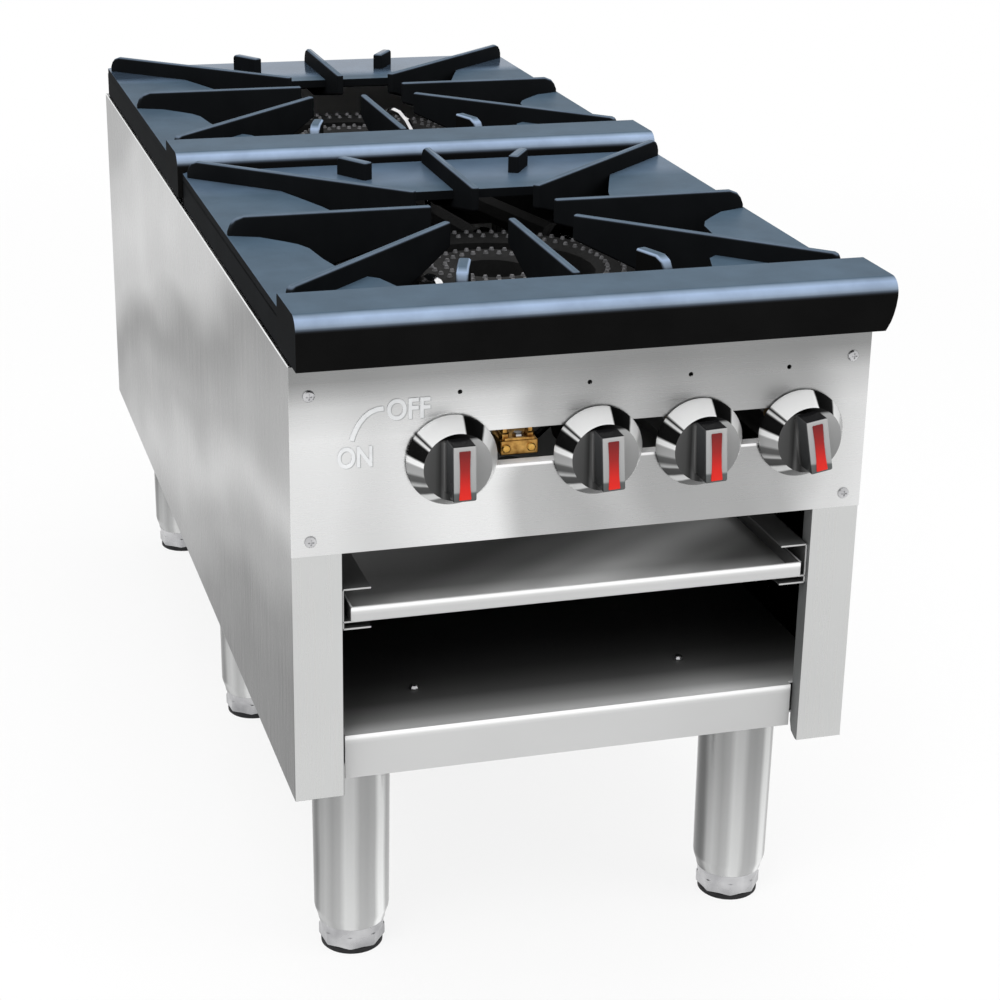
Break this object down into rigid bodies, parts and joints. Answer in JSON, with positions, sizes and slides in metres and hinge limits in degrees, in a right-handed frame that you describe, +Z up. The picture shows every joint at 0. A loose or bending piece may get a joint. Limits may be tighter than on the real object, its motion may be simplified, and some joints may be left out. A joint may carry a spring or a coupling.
{
  "type": "stock pot range",
  "caption": "narrow floor-standing gas range with cast-iron top grates one behind the other, valve knobs on the front panel, a drip tray and an open bay on legs",
  "frame": {"origin": "on the floor, under the middle of the range's bounding box", "axes": "+Z up; -Y to the front, where the knobs are; +X to the right as seen from the front"},
  "size_m": [0.46, 1.105, 0.575],
  "materials": {
    "stainless": "brushed stainless steel",
    "cast_iron": "black enamelled cast iron, satin gloss",
    "burner_iron": "bare cast iron",
    "chrome": "bright chrome",
    "red_plastic": "red plastic insert",
    "brass": "plain brass",
    "aluminium": "bright drawn tube",
    "black_pipe": "black pipe",
    "steel": "bright zinc-plated steel"
  },
  "bodies": {
    "range": {"left_side_panel": "stainless", "right_side_panel": "stainless", "back_panel": "stainless", "control_panel": "stainless", "bottom_shelf": "stainless", "left_tray_runner": "stainless", "right_tray_runner": "stainless", "leg_front_left": "stainless", "leg_front_right": "stainless", "leg_middle_left": "stainless", "leg_middle_right": "stainless", "leg_rear_left": "stainless", "leg_rear_right": "stainless", "front_outer_burner": "burner_iron", "front_inner_burner": "burner_iron", "rear_outer_burner": "burner_iron", "rear_inner_burner": "burner_iron", "pilot_valve": "brass", "valve_1": "brass", "valve_2": "brass", "valve_3": "brass", "valve_4": "brass", "front_pilot_tube": "aluminium", "rear_pilot_tube": "aluminium", "rear_inner_supply_tube": "aluminium", "rear_outer_supply_tube": "aluminium", "gas_manifold": "black_pipe", "gas_supply_pipe": "black_pipe", "panel_screw_lower_left": "steel", "panel_screw_lower_right": "steel", "panel_screw_upper_left": "steel", "panel_screw_upper_right": "steel", "shelf_bolt_left": "steel", "shelf_bolt_right": "steel", "front_burner_rest": "steel", "rear_burner_rest": "steel", "front_crossbar": "steel", "middle_crossbar": "steel", "rear_crossbar": "steel"},
    "knob_turning_1": {"knob_1": "chrome", "knob_pointer_1": "red_plastic", "valve_stem_1": "steel"},
    "knob_turning_2": {"knob_2": "chrome", "knob_pointer_2": "red_plastic", "valve_stem_2": "steel"},
    "knob_turning_3": {"knob_3": "chrome", "knob_pointer_3": "red_plastic", "valve_stem_3": "steel"},
    "knob_turning_4": {"knob_4": "chrome", "knob_pointer_4": "red_plastic", "valve_stem_4": "steel"},
    "tray": {"drip_tray": "stainless"},
    "front_grate": {"front_top_grate": "cast_iron"},
    "rear_grate": {"rear_top_grate": "cast_iron"},
    "front_left_foot": {"foot_front_left": "steel"},
    "front_right_foot": {"foot_front_right": "steel"},
    "middle_left_foot": {"foot_middle_left": "steel"},
    "middle_right_foot": {"foot_middle_right": "steel"},
    "rear_left_foot": {"foot_rear_left": "steel"},
    "rear_right_foot": {"foot_rear_right": "steel"}
  },
  "joints": [
    {"name": "knob_1_turn", "type": "hinge", "parent": "range", "child": "knob_turning_1", "pos_m": [-0.107, -0.5305, 0.4465], "axis": [0, -1, 0], "range_deg": [-1, 89]},
    {"name": "knob_2_turn", "type": "hinge", "parent": "range", "child": "knob_turning_2", "pos_m": [0.0075, -0.5305, 0.4465], "axis": [0, -1, 0], "range_deg": [-3, 87]},
    {"name": "knob_3_turn", "type": "hinge", "parent": "range", "child": "knob_turning_3", "pos_m": [0.089, -0.5305, 0.4465], "axis": [0, -1, 0], "range_deg": [-3, 87]},
    {"name": "knob_4_turn", "type": "hinge", "parent": "range", "child": "knob_turning_4", "pos_m": [0.173, -0.5305, 0.4465], "axis": [0, -1, 0], "range_deg": [-10, 80]},
    {"name": "tray_slide", "type": "slide", "parent": "range", "child": "tray", "axis": [0, -1, 0], "range_m": [0, 0.5]},
    {"name": "front_grate_lift", "type": "slide", "parent": "range", "child": "front_grate", "axis": [0, 0, 1], "range_m": [0, 0.2]},
    {"name": "rear_grate_lift", "type": "slide", "parent": "range", "child": "rear_grate", "axis": [0, 0, 1], "range_m": [0, 0.2]},
    {"name": "front_left_foot_screw", "type": "slide", "parent": "range", "child": "front_left_foot", "axis": [0, 0, -1], "range_m": [0, 0.025]},
    {"name": "front_right_foot_screw", "type": "slide", "parent": "range", "child": "front_right_foot", "axis": [0, 0, -1], "range_m": [0, 0.025]},
    {"name": "middle_left_foot_screw", "type": "slide", "parent": "range", "child": "middle_left_foot", "axis": [0, 0, -1], "range_m": [0, 0.025]},
    {"name": "middle_right_foot_screw", "type": "slide", "parent": "range", "child": "middle_right_foot", "axis": [0, 0, -1], "range_m": [0, 0.025]},
    {"name": "rear_left_foot_screw", "type": "slide", "parent": "range", "child": "rear_left_foot", "axis": [0, 0, -1], "range_m": [0, 0.025]},
    {"name": "rear_right_foot_screw", "type": "slide", "parent": "range", "child": "rear_right_foot", "axis": [0, 0, -1], "range_m": [0, 0.025]}
  ]
}
